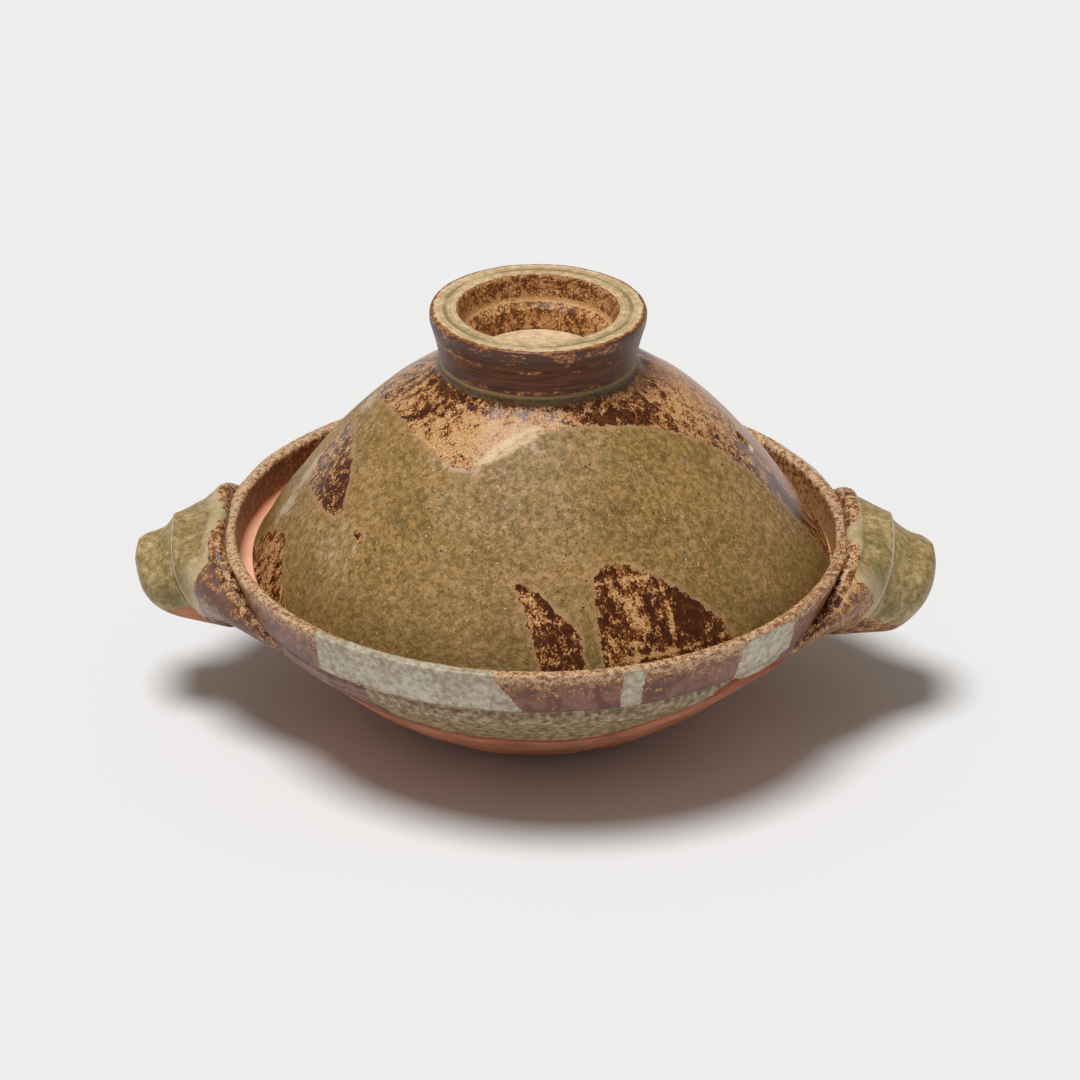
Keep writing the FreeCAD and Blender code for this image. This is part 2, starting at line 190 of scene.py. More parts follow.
def depth_inside(outlines, turn, along, radius):
    """How far each corner lies inside the nearest outline, in mm, and below 0 outside them all.
    An outline is a loop of (turn in degrees, distance along), whose corners are cut off here."""
    depth = np.full(np.broadcast(turn, along).shape, -np.inf)
    for points in outlines:
        loop = np.array(points, float) * [math.pi / 180, 1]
        after = np.roll(loop, -1, axis=0)
        loop = np.stack([0.75 * loop + 0.25 * after, 0.25 * loop + 0.75 * after], 1).reshape(-1, 2)
        nearest = np.full(depth.shape, np.inf)
        within = np.zeros(depth.shape, bool)
        for (turn_a, along_a), (turn_b, along_b) in zip(loop, np.roll(loop, -1, axis=0)):
            ax, ay = (turn_a - turn) * radius, along_a - along
            dx, dy = (turn_b - turn_a) * radius, along_b - along_a
            share = np.clip(-(ax * dx + ay * dy) / (dx ** 2 + dy ** 2), 0, 1)
            nearest = np.minimum(nearest, np.hypot(ax + share * dx, ay + share * dy))
            crossed = ((along_a > along) != (along_b > along)) & ((ax * dy - ay * dx > 0) == (dy > 0))
            within ^= crossed
        depth = np.maximum(depth, np.where(within, nearest, -nearest))
    return depth


def soft_spots(spots, turn, along, radius):
    """Soft spots added up, each (turn in degrees, distance along, reach round, reach along, strength)."""
    field = np.zeros(np.broadcast(turn, along).shape)
    for spot_turn, spot_along, reach_round, reach_along, strength in spots:
        across = (turn - math.radians(spot_turn)) * radius / reach_round
        field += strength * np.exp(-across ** 2 - ((along - spot_along) / reach_along) ** 2)
    return field


def zone_above(line, top):
    """The outline of all above a line of (turn in degrees, height) that runs round from -180 to 180."""
    before = [(turn - 360, height) for turn, height in line if 140 < turn < 180]
    beyond = [(turn + 360, height) for turn, height in line if -180 < turn < -140]
    return [(-220, top), *before, *line, *beyond, (220, top)]


class Turned:
    """A turned shape: its grid of corners, with their turn, distance along the outline and radius."""

    def __init__(self, rows, centre_x, columns, closed=False, first_outer=0):
        self.closed = closed
        self.columns = columns
        self.rows = rows
        steps = np.linalg.norm(np.diff(rows, axis=0), axis=1)
        self.row_along = np.concatenate([[0], np.cumsum(steps)])
        # The height is the level on the outer face, and runs on evenly along the outline past its ends
        self.row_height = rows[:, 1].copy()
        last_outer = np.argmax(rows[:, 1] > rows[:, 1].max() - 0.05)
        for end, past in ((first_outer, slice(0, first_outer)), (last_outer, slice(last_outer, None))):
            self.row_height[past] = rows[end, 1] + self.row_along[past] - self.row_along[end]
        tangents = np.gradient(rows, axis=0)
        if closed:
            tangents[0] = tangents[-1] = rows[1] - rows[-2]
        tangents /= np.linalg.norm(tangents, axis=1)[:, None]
        inner = slice(0, -1) if closed else slice(1, -1)
        self.row_normals = np.stack([tangents[:, 1], -tangents[:, 0]], -1)[inner]
        self.grid_rows = rows[inner]
        self.centre = np.broadcast_to(centre_x, len(rows))[inner][:, None]
        self.turn = np.linspace(-math.pi, math.pi, columns, endpoint=False)[None, :]
        self.along = self.row_along[inner][:, None]
        self.height = self.row_height[inner][:, None]
        self.radius = self.grid_rows[:, :1]
        self.level = self.grid_rows[:, 1:]

    def height_at(self, radius, level):
        """The height of the row nearest to a point of the outline."""
        return self.row_height[np.argmin(np.hypot(self.rows[:, 0] - radius, self.rows[:, 1] - level))]

    def along_at(self, height):
        """The distance along the outline to a height."""
        return np.interp(height, self.row_height, self.row_along)

    def inside(self, outlines):
        """How far each corner lies inside outlines of (turn in degrees, height)."""
        flat = [[(turn, self.along_at(height)) for turn, height in points] for points in outlines]
        return depth_inside(flat, self.turn, self.along, self.radius)

    def spots(self, listed):
        """Soft spots added up, each (turn in degrees, height, reach round, reach along, strength)."""
        flat = [(turn, self.along_at(height), *rest) for turn, height, *rest in listed]
        return soft_spots(flat, self.turn, self.along, self.radius)

    def make(self, name, swell, fields):
        """The piece, with each corner moved out by swell. A field is a grid, or one row at a time."""
        swell = np.broadcast_to(swell, (len(self.grid_rows), self.columns))
        radius = self.radius + self.row_normals[:, :1] * swell
        level = self.level + self.row_normals[:, 1:] * swell
        grid = np.stack([self.centre + radius * np.sin(self.turn), -radius * np.cos(self.turn), level], -1)
        ends = [[self.centre[end, 0], 0, self.rows[end, 1]] for end in (0, -1)]
        return make_piece(name, grid, fields, None if self.closed else ends)


# The pot bowl. Half outlines are stretches of (row spacing, points) with points (radius, level).

RIM_TOP = TOP + 1  # the lip of the real pot is a little fuller than that of the solids
BAND_FOOT = TOP - 18.3  # the lower edge of the rim band
LEDGE_OUTER, LEDGE_INNER = 120.4, 108.4  # radii of the ledge that the lid rests on
COLUMNS = 720
POT_OUTLINE = [
    (4, [(0, 0), (44, 0)]),
    (1.6, [(46.5, 0.4), (52, 2.5), (65.9, 8.5), (83.5, 21), (100.5, 36.2), (117.5, 51.5)]),
    (0.8, [(119.4, 56.4), (119.6, BAND_FOOT)]),
    (0.8, [(121.4, BAND_FOOT)]),
    (0.8, [(RIM, RIM_TOP - 1.2)]),
    (0.5, [(RIM - 0.3, RIM_TOP - 0.3), (RIM - 1.2, RIM_TOP)]),
    (0.8, [(RIM - 4.1, RIM_TOP - 0.1)]),
    (0.5, [(RIM - 5.4, RIM_TOP - 0.9), (RIM - 5.9, RIM_TOP - 2.4)]),
    (1, [(LEDGE_OUTER, SEAT)]),
    (1.2, [(LEDGE_INNER, SEAT)]),
    (1.5, [(LEDGE_INNER, SEAT - 9)]),
    (2.5, [(78.8, 26.2), (63, 15.1), (46, 8)]),
    (5, [(0, 8)]),
]
pot = Turned(outline(POT_OUTLINE, softness=0.35), 0, COLUMNS)

# The lid dome

LID_OUTLINE = [
    (4, [(0, 145.9), (36.9, 144.4), (60.7, 127.6), (83.3, 103.6), (98.5, 83), (108.8, SEAT)]),
    (1, [(114.6, SEAT)]),
    (0.7, [(116.4, SEAT + 0.7), (LID_RADIUS, SEAT + 2), (116, 68.5)]),
    (1, [(112.4, 75), (107.9, 82), (99.5, 94), (88.9, 108), (76.4, 122), (63.3, 134), (49.6, 144),
         (42, 149)]),
    (0.7, [(40.3, 150.9), (39.6, CROWN), (39, CROWN + 1.5)]),
    (1.5, [(37.5, CROWN + 1.5)]),
    (1.5, [(34, CROWN)]),
    (3, [(0, CROWN)]),
]
lid_rows = outline(LID_OUTLINE)
lid_edge = np.argmax(lid_rows[:, 0])
# The crown of the lid goes over to the middle of the ring, which sits a little off its own
lid_centre = np.interp(lid_rows[:, 1], [CROWN - 9, CROWN - 2], [LID_X, KNOB_X])
lid_centre[:lid_edge] = LID_X
lid = Turned(lid_rows, lid_centre, COLUMNS, first_outer=lid_edge)

# The ring knob

KNOB_OUTLINE = [
    (1.2, [(25, CROWN), (39.1, CROWN)]),
    (0.6, [(40.6, CROWN + 8), (KNOB_RADIUS, KNOB_TOP - 4.3)]),
    (0.6, [(KNOB_RADIUS, KNOB_TOP - 1.2)]),
    (0.5, [(KNOB_RADIUS - 0.5, KNOB_TOP - 0.3), (KNOB_RADIUS - 1.8, KNOB_TOP)]),
    (0.5, [(KNOB_RADIUS - 10.6, KNOB_TOP)]),
    (0.6, [(31.6, KNOB_TOP - 1)]),
    (0.6, [(29.8, KNOB_TOP - 10)]),
    (0.6, [(26.5, KNOB_TOP - 13.2)]),
    (0.6, [(25, CROWN)]),
]
knob = Turned(outline(KNOB_OUTLINE, closed=True), KNOB_X, COLUMNS // 2, closed=True)


# The handles

def pot_skin(level):
    """The outer radius of the pot at a level, and of its lip at all levels above."""
    outside = pot.rows[:np.argmax(pot.rows[:, 1])]
    return np.interp(level, outside[:, 1], outside[:, 0])


HANDLE_COLUMNS = 200
# The middle of the rolled edge, which hugs the rim band: side, rise over the rim, reach
MOUTH = [(0, 1.5, 128.8), (15, 1.3, 128.7), (27, -0.2, 127.2), (35, -5, 123.7), (43, -11.8, 118.8),
         (50, -18.6, 111.8), (55.5, -22.2, 104), (55, -27, 97), (46, -35.5, 91), (27, -43, 91.5),
         (0, -45, 93.5)]
ROLL = 4.1  # the radius of the rolled edge
ROLL_LEAN = math.radians(5)
ROLL_TURNS = np.radians([150, 125, 104, 86, 68, 50, 32, 14, -4, -22, -38])  # its rows, from the root on
TIP_SWELL = 0.3  # how far the middle of the tip stands out
ROOT_SHARES = (0.2, 0.4, 0.6, 0.8, 0.97)  # the root rings, as shares of the width of the mouth
ROOT_REACH = RIM - 4.7  # the handle covers the outer part of the lip down to this radius
UNDER_SKIN = 1.2  # how deep it sits in the skin of the pot below
# A ring of a handle: reach, drop under the rim, lean in degrees, half width, half depth and tuck,
# which is how far its underside is drawn back to the pot
HANDLE_SLEEVES = {
    "handle_right": [
        (130, 16.5, 19, 41.5, 21, 5),
        (141.5, 21, 8, 30, 23.7, 22),
    ],
    "handle_left": [
        (133, 17.5, 22, 40, 19.5, 9),
        (148.5, 21.8, -4, 21.5, 23.7, 29),
    ],
}
HANDLE_TIPS = {
    "handle_right": [
        (143.5, 21.8, 5, 27.4, 21.9, 4),
        (148.5, 22.8, 0, 24.3, 20.3, 3.5),
        (154, 21.3, -6, 21, 16.4, 3),
        (158.9, 18.4, -10, 17.3, 12.2, 3),
        (161.2, 15.3, -14, 12.4, 8, 2),
        (162.3, 12, -18, 5.5, 3.5, 1),
    ],
    "handle_left": [
        (150, 20.8, -6, 19.7, 20.4, 9.5),
        (153.5, 21.4, -9, 20.5, 16.8, 7.5),
        (157, 20.5, -11, 19.5, 14, 6),
        (159.9, 18.4, -13, 16.2, 11.3, 4.5),
        (161.5, 15.5, -16, 11.5, 7.8, 3),
        (162.3, 12, -20, 5.5, 4, 1),
    ],
}


def handle_ring(ring, turn):
    """Points of one ring of a handle."""
    reach, drop, lean, half_width, half_depth, tuck = ring
    lean = math.radians(lean)
    up = np.cos(turn)
    return np.stack([reach + math.sin(lean) * half_depth * up - tuck * ((1 - up) / 2) ** 2,
                     half_width * np.sin(turn), TOP - drop + math.cos(lean) * half_depth * up], -1)


def mouth_line(turn):
    """The middle of the rolled edge at each turn, with the direction that points out of the mouth."""
    side, rise, reach = np.array(MOUTH, float).T
    around = np.concatenate([MOUTH, np.array(MOUTH[-2:0:-1]) * [-1, 1, 1], MOUTH[:1]])
    line = curve_through(np.concatenate([around[-3:-1], around, around[1:3]]), 0.5)
    hub = (rise[0] + rise[-1]) / 2
    angles = np.unwrap(np.arctan2(line[:, 0] / side.max(), (line[:, 1] - hub) / (rise[0] - hub)))
    middle = np.stack([np.interp(turn, angles, line[:, k]) for k in range(3)], -1)
    along = np.roll(middle, -1, axis=0) - np.roll(middle, 1, axis=0)
    out = np.stack([np.zeros(len(turn)), -along[:, 1], along[:, 0]], -1)
    out /= np.linalg.norm(out, axis=1)[:, None]
    out = np.stack([out[:, 2] * math.sin(ROLL_LEAN), out[:, 1], out[:, 2] * math.cos(ROLL_LEAN)], -1)
    return np.stack([middle[:, 2], middle[:, 0], TOP + middle[:, 1]], -1), out


def root_ring(middle, share):
    """A ring inside the wall of the pot, at a share of the width of the mouth."""
    hub = middle[:, 2].mean()
    side = middle[:, 1] * share
    level = hub + (np.minimum(middle[:, 2], TOP - 0.6) - hub) * share
    radius = np.minimum(pot_skin(level) - UNDER_SKIN, ROOT_REACH)
    return np.stack([np.sqrt(radius ** 2 - side ** 2), side, level], -1)


def make_handle(name, node, mirrored):
    """A thrown lug: a root in the wall, a rolled mouth over the rim, a sleeve, a ridge and a tip."""
    turn = np.arange(HANDLE_COLUMNS) * 2 * math.pi / HANDLE_COLUMNS
    middle, out = mouth_line(turn)
    back = np.array([-math.cos(ROLL_LEAN), 0, math.sin(ROLL_LEAN)])
    roll = [middle + ROLL * (math.cos(angle) * out + math.sin(angle) * back) for angle in ROLL_TURNS]
    sleeve = [handle_ring(ring, turn) for ring in HANDLE_SLEEVES[node]]
    tip = [handle_ring(ring, turn) for ring in HANDLE_TIPS[node]]
    rings = [root_ring(middle, share) for share in ROOT_SHARES] + roll
    ridge = None
    for stations, step in ((roll[-1:] + sleeve, 1.2), (sleeve[-1:] + tip[:1], 0.7), (tip, 1)):
        spread = step * math.sqrt(HANDLE_COLUMNS)
        run = curve_through([station.ravel() for station in stations], spread).reshape(-1, *tip[0].shape)
        rings += list(run[1:])
        ridge = ridge or len(rings) - 1
    grid = np.array(rings)
    gaps = np.linalg.norm(np.diff(grid, axis=0), axis=2).mean(axis=1)
    along = np.concatenate([[0], np.cumsum(gaps)])[:, None]
    along -= along[len(ROOT_SHARES) + np.argmin(np.abs(ROLL_TURNS - math.pi / 2))]
    girth = np.linalg.norm(grid - grid.mean(axis=1, keepdims=True), axis=2).mean(axis=1)[:, None]
    place = ((turn + math.pi) % (2 * math.pi) - math.pi, along, girth)
    fields = {
        "iron": depth_inside([zone_above(HANDLE_IRON[node], -60)], *place),
        "under": depth_inside(HANDLE_UNDER[node], *place),
        "pool": soft_spots(HANDLE_POOLS[node], *place),
        "along": along,
        "ridge": along - along[ridge],
    }
    ends = grid[[0, -1]].mean(axis=1) + [[0, 0, 0], [TIP_SWELL, 0, 0]]
    return make_piece(name, grid, fields, ends, mirrored)


# Glaze zones, as outlines and lines of (turn in degrees, height) or of (turn, distance from the roll)

LIP_END = pot.height_at(RIM - 5.9, RIM_TOP - 2.4)
LEDGE_START = pot.height_at(LEDGE_OUTER, SEAT)
LEDGE_END = pot.height_at(LEDGE_INNER, SEAT)
KNOB_FLOOR = lid.height_at(26.5, CROWN)
KNOB_INNER_EDGE = knob.height_at(32.5, KNOB_TOP)
KNOB_STEP = knob.height_at(29.8, KNOB_TOP - 10)

COLLAR = [(-180, 126), (-150, 131), (-125, 133), (-101, 131), (-71, 138), (-47, 135), (-37, 133),
          (-27, 132), (-19, 135), (-13, 141), (-1, 145), (27, 145), (46, 142), (65, 133.5), (74, 121),
          (80, 103), (84, 87), (86, 74), (88, 60), (116, 60), (122, 90), (130, 112), (150, 124), (180, 126)]
LID_IRON = [
    zone_above(COLLAR, CROWN + 80),
    [(-97, 120), (-88, 123), (-78, 121), (-70, 119), (-64, 112), (-59, 104), (-72, 102.5), (-87, 102)],
    [(-53, 103), (-52, 105), (-48.5, 104.5), (-49, 101)],
    [(-91, 60), (-89, 72), (-83, 82), (-76, 86), (-72, 82), (-66, 75), (-61, 69), (-58, 60)],
    [(-6.4, 102), (-0.2, 98), (4.6, 91), (8.3, 85), (8.7, 75), (8.7, 60), (0.2, 60), (0.2, 74.6),
     (-1.7, 85), (-3.8, 95)],
    [(12.5, 100.5), (13.3, 104), (17.6, 106), (22.7, 104), (28.3, 98.6), (32.9, 93.6), (38, 84.7),
     (41.3, 77), (42, 68), (42, 60), (12.8, 60), (12.8, 75.6), (12.6, 78), (12.3, 87.7)],
    [(-152, 60), (-150, 80), (-144, 97), (-137, 99), (-131, 84), (-128, 60)],
    [(152, 60), (150, 74), (157, 84), (163, 78), (165, 60)],
]
# Three thin tan lines in the right-hand brown patch
LID_LINES = [
    [(12, 101.1), (20, 101.5), (27, 100.7), (27, 99.7), (20, 100.3), (12, 100)],
    [(27.7, 99), (28.8, 99), (29.3, 88), (28.8, 78.5), (27.7, 78.5), (28.1, 88)],
    [(10, 76.5), (28, 76.1), (45, 76.5), (45, 75.4), (28, 74.9), (10, 75.1)],
]
LID_PURPLE = [
    [(84, 156), (83, 147), (92, 132), (96, 120), (91, 104), (90, 88), (98, 80), (112, 92), (124, 118),
     (120, 150)],
    [(52, 156), (56, 149), (84, 147), (84, 156)],
]
LID_STREAK = [[(-25, 134.6), (-20, 139), (-14, 142.6), (-1, 146.6), (3, 144.4), (-8, 140.6), (-14, 137.6),
               (-22, 133.6)]]
# Soft spots on the turned shapes: turn, height, reach round, reach along, strength
# Pale spots of painted sheen on the dome
LID_SHEEN_SPOTS = [
    (-89, 103, 6, 9, 1.2), (-86, 89, 5, 8, 1.1), (-99, 128, 8, 7, 1.1), (-30, 133, 12, 4, 0.8),
    (-8, 141, 12, 4, 0.7), (-56, 96, 16, 14, 0.4), (140, 100, 20, 12, 0.5), (-150, 118, 14, 12, 0.6),
]
# A dark blister beside the steam hole, and a painted highlight where the glaze lies thick on the lower edge
# of that hole
LID_BLISTER = [(76.8, 126.6, 2, 1.3, 1)]
LID_HOLE_HIGHLIGHT = [(90.6, 113.2, 2.2, 1.5, 1)]
# How far tan covers the brown glaze of the lid
LID_TAN = [
    (-62, 134, 40, 18, 0.12), (-46, 138, 16, 8, 0.03), (-31, 141, 18, 9, 0.05), (-17, 141, 22, 9, 0.12),
    (-3, 145, 20, 6, 0.12), (8, 143, 12, 5, 0.05), (-60.6, 141.6, 4, 3.5, -0.3), (-67, 137, 3, 3, -0.22),
    (-68, 149, 8, 3, -0.14), (-45, 149, 8, 3, -0.1), (50, 143, 14, 4, -0.14), (34, 145.5, 14, 3, -0.16),
    (62, 135, 8, 3, -0.08), (80, 136, 30, 24, 0.12), (86, 93, 5, 12, -0.22), (95, 122, 9, 9, 0.06),
    (18, 96, 3, 3.5, 0.05), (20.5, 92.5, 3.5, 4.5, 0.1), (22, 87, 3, 3.5, 0.08), (19.5, 79.6, 7, 2, 0.13),
    (17, 102, 9, 2.5, 0.03), (17, 88, 8, 18, -0.03), (34, 88, 10, 16, -0.2), (24, 88, 2, 8, -0.08),
    (13.3, 88, 2.5, 8, -0.12), (5, 79, 3.5, 4.5, 0.05), (2, 88, 8, 18, -0.06), (-65, 114, 14, 10, -0.13),
    (-76, 76, 20, 12, 0.07), (135, 130, 30, 16, 0.12), (-150, 140, 30, 10, 0.1), (170, 140, 24, 10, -0.1),
    (-140, 84, 12, 12, 0.08),
]
# The same for the lip and the gallery of the pot; the spot at turn 5 on the front of the lip paints sheen
# in cream
POT_TAN = [(95, 95, 80, 11, 0.22), (-100, 80, 80, 5, 0.07), (150, 90, 50, 8, 0.1), (80, 80, 60, 5, -0.07),
           (5, 79, 70, 4, 0.02)]
POT_CELADON = [
    [(-42.4, 74), (-42.6, 79), (-42, 82), (-7.6, 82), (-7, 78), (-6.8, 75), (-4.6, 68), (-1.9, 60),
     (-1.9, 58.5), (-43.6, 58.5), (-43.4, 60)],
    [(15.7, 58.5), (15.5, 68), (15.9, 79), (19.5, 79), (19.7, 68), (19.5, 58.5)],
    [(39.3, 56), (39.9, 68), (40.2, 77.5), (44, 78.5), (50, 78), (53.9, 75), (54.8, 68), (55.9, 56)],
    [(102, 56), (104, 76), (107, 80), (131, 80), (134, 70), (136, 56)],
    [(-178, 56), (-176, 78), (-163, 80), (-160, 56)],
    [(-121, 56), (-118, 78), (-104, 80), (-98, 70), (-97, 56)],
]
# The line down to which the pot is glazed
SKIRT = [(-180, 50), (-165, 44), (-150, 43), (-135, 50), (-120, 55), (-90, 57), (-60, 52), (-45, 44),
         (-31, 36), (-15, 34), (0, 33.5), (15, 34.5), (20.7, 39), (29, 46), (36, 55), (41, 58.8),
         (50, 58.8), (55, 53), (70, 50), (98, 51), (108, 50), (125, 44), (140, 41), (158, 46), (180, 50)]
POT_GREEN = [
    [(-31, 26), (-32, 46), (-34, 62), (45, 62), (38, 50), (31, 40), (22, 30)],
    [(100, 62), (104, 50), (118, 34), (150, 34), (166, 48), (170, 62)],
]
# Where the ledge is left brown as painted shade, in the narrow gap under the lid; it is bare clay elsewhere
POT_PAINTED_SHADE_LEDGE = [[(14, LEDGE_START - 8), (22, LEDGE_END + 2), (118, LEDGE_END + 2),
                   (126, LEDGE_START - 8)]]
HANDLE_IRON = {
    "handle_right": [
        (-180, 40), (-122, 40.5), (-99, 38.5), (-81, 39), (-70, 34), (-58, 28), (-50, 19), (-42, 13),
        (-32, 10), (-26, 8.5), (-21, 4), (-17, 0), (-13, -2), (-9, 1), (-5, 8), (14, 8), (40, 9), (60, 12),
        (75, 18), (95, 30), (120, 38), (180, 40)],
    "handle_left": [
        (-180, 51), (-125, 51), (-115, 48), (-106, 44), (-100, 41), (-86, 37), (-74, 36.5), (-60, 33),
        (-47, 27), (-36, 15), (-25, 10), (-16, 7.5), (-7, 4.5), (-4, 1.5), (0, 1.5), (8, 5), (20, 7.5),
        (40, 9), (60, 12), (80, 24), (105, 38), (130, 44), (180, 45)],
}
HANDLE_UNDER = {
    "handle_right": [[(-100, 41), (-108, 47), (-115, 54), (-122, 58), (-150, 60), (-178, 56), (-178, 38),
                      (-120, 40)]],
    "handle_left": [[(-104, 50), (-108, 54), (-118, 58), (-135, 62), (-178, 62), (-178, 51), (-125, 51),
                     (-113, 50)]],
}
# Green pools: turn, distance from the roll, reach round, reach along, strength
HANDLE_POOLS = {
    "handle_right": [
        (-50, 33, 8, 8, 0.8), (-66, 37, 6, 3, 0.9), (-20, 34, 8, 8, 0.5), (20, 30, 10, 8, 0.4),
        (-94, 52, 5, 5, 1.1), (60, 34, 10, 7, 0.6)],
    "handle_left": [
        (-70, 37, 5, 3, 1), (-104, 56, 6, 4, 1.1), (-20, 20, 8, 8, 0.5), (-25, 40, 10, 5, 0.5),
        (-60, 47, 8, 4, 0.4), (50, 34, 10, 8, 0.6)],
}


# Shader nodes

def linear(colour):
    """A colour of parts from 0 to 255 on screen, in the linear terms of a shader and opaque."""
    return (*(((part / 255 + 0.055) / 1.055) ** 2.4 for part in colour), 1)


def feed(socket, value):
    """Gives a socket a number, a colour or what another node puts out."""
    if isinstance(value, Signal):
        socket.id_data.links.new(value.socket, socket)
    elif socket.type == "RGBA":
        socket.default_value = linear(value)
    else:
        socket.default_value = value


class Signal:
    """What a shader node puts out: a colour, or a number to do sums with."""

    def __init__(self, socket):
        self.socket = socket

    def sum(self, operation, other=0):
        node = self.socket.id_data.nodes.new("ShaderNodeMath")
        node.operation = operation
        feed(node.inputs[0], self)
        feed(node.inputs[1], other)
        return Signal(node.outputs[0])

    def __add__(self, other):
        return self.sum("ADD", other)

    def __sub__(self, other):
        return self.sum("SUBTRACT", other)

    def __mul__(self, other):
        return self.sum("MULTIPLY", other)

    def __abs__(self):
        return self.sum("ABSOLUTE")

    def rise(self, low, high):
        """0 up to low and 1 from high on, smooth between them. It falls if low is the larger."""
        node = self.socket.id_data.nodes.new("ShaderNodeMapRange")
        node.interpolation_type = "SMOOTHSTEP"
        feed(node.inputs["Value"], self)
        node.inputs["From Min"].default_value = low
        node.inputs["From Max"].default_value = high
        return Signal(node.outputs["Result"])

    def near(self, level, reach):
        """1 at a level, fading to 0 this far from it."""
        return abs(self - level).rise(reach, reach * 0.3)


SEED_STEP = 7.31  # how far apart in space, in grains, two seeds lie
GLAZE_SHINE = 0.36  # the specular level of all coats


class Paint:
    """A material made of coats, from the bottom one up. A coat is (colour, roughness, relief in mm)."""

    def __init__(self, name):
        self.material = bpy.data.materials.new(name)
        self.material.use_nodes = True
        self.nodes = self.material.node_tree.nodes
        self.place = Signal(self.nodes.new("ShaderNodeTexCoord").outputs["Object"])
        self.coat = None  # the coats laid so far, as one

    def make(self, kind, output, inputs, **settings):
        node = self.nodes.new(kind)
        for setting, value in settings.items():
            setattr(node, setting, value)
        for socket, value in inputs.items():
            feed(node.inputs[socket], value)
        return Signal(node.outputs[output])

    def field(self, name):
        return self.make("ShaderNodeAttribute", "Fac", {}, attribute_name=name)

    def grain_place(self, size, seed, stretch):
        """The place in the piece, in units of the size in mm and moved to where the seed says."""
        scale = [1 / (size * MM * pull) for pull in stretch]
        inputs = {0: self.place, 1: scale, 2: [seed * SEED_STEP] * 3}
        return self.make("ShaderNodeVectorMath", 0, inputs, operation="MULTIPLY_ADD")

    def noise(self, size, seed, detail=2, grit=0.55, stretch=(1, 1, 1)):
        """Patches about this many mm across, from 0 to 1 and mostly near a half. Stretch draws them out."""
        place = self.grain_place(size, seed, stretch)
        inputs = {"Vector": place, "Scale": 1, "Detail": detail, "Roughness": grit}
        return self.make("ShaderNodeTexNoise", "Fac", inputs)

    def spots(self, spacing, radius, seed):
        """Round spots: 1 inside them and 0 between them."""
        place = self.grain_place(spacing, seed, (1, 1, 1))
        distance = self.make("ShaderNodeTexVoronoi", "Distance", {"Vector": place, "Scale": 1})
        return (distance * spacing).rise(radius, radius * 0.55)

    def mix(self, share, under, over):
        """What is under where the share is 0, and over where it is 1."""
        if under == over:
            return under
        first = under.socket if isinstance(under, Signal) else None
        coloured = isinstance(under, tuple) or (first is not None and first.type == "RGBA")
        kind, slots, output = ("RGBA", (6, 7), 2) if coloured else ("FLOAT", (2, 3), 0)
        inputs = {0: share, slots[0]: under, slots[1]: over}
        return self.make("ShaderNodeMix", output, inputs, data_type=kind)

    def tones(self, number, stops):
        """The colour of a number on a scale of (number, colour) stops."""
        node = self.nodes.new("ShaderNodeValToRGB")
        feed(node.inputs[0], number)
        elements = node.color_ramp.elements
        while len(elements) < len(stops):
            elements.new(0.5)
        for element, (place, colour) in zip(elements, stops):
            element.position = place
            element.color = linear(colour)
        return Signal(node.outputs["Color"])

    def cover(self, share, coat):
        """Lays a coat over the ones so far, where the share is 1."""
        self.coat = tuple(self.mix(share, under, over) for under, over in zip(self.coat, coat))

    def tint(self, share, colour):
        """Colours the top without a change to its gloss or relief."""
        self.coat = (self.mix(share, self.coat[0], colour), *self.coat[1:])

    def finish(self):
        """Feeds the coats to the shader."""
        shader = self.nodes["Principled BSDF"]
        shader.inputs["Specular IOR Level"].default_value = GLAZE_SHINE
        colour, roughness, relief = self.coat
        feed(shader.inputs["Base Color"], colour)
        feed(shader.inputs["Roughness"], roughness)
        bump = self.make("ShaderNodeBump", "Normal", {"Height": relief, "Distance": MM})
        feed(shader.inputs["Normal"], bump)
        return self.material


# Colours of (red, green, blue) from 0 to 255, and tones of (number, colour) stops

ASH_DARK = (110, 84, 38)
ASH_PINK = (196, 150, 108)
ASH_TONES = [(0.34, ASH_DARK), (0.47, (146, 112, 56)), (0.57, (172, 135, 80)), (0.7, ASH_PINK)]
OLIVE = (116, 102, 54)
GREEN_SPECK = (60, 64, 38)
BLACK_PIT = (26, 22, 14)
GLINT = (228, 214, 188)
IRON_DARK = (70, 30, 8)
IRON_RED = (106, 54, 18)
OCHRE = (158, 92, 36)
TAN = (204, 152, 92)
# Painted glints on the brown glaze
CREAM = (236, 208, 166)
PURPLE_DARK = (104, 64, 50)
PURPLE = (138, 94, 79)
CELADON_TONES = [(0.32, (140, 130, 102)), (0.45, (174, 160, 134)), (0.6, (212, 201, 180))]
CLAY_DARK = (150, 90, 62)
CLAY_PALE = (200, 134, 102)
LID_MAUVE = (148, 92, 74)
# Painted sheen on the dome
SHEEN_CREAM = (214, 196, 168)
STREAK_CREAM = (224, 194, 148)
NECK_TONES = [(0.35, (80, 60, 32)), (0.65, (114, 88, 52))]
NECK_LINE = (158, 136, 92)
WELL_TONES = [(0.4, (208, 176, 132)), (0.6, (238, 214, 180))]
HOLE_SHADE = (44, 24, 12)
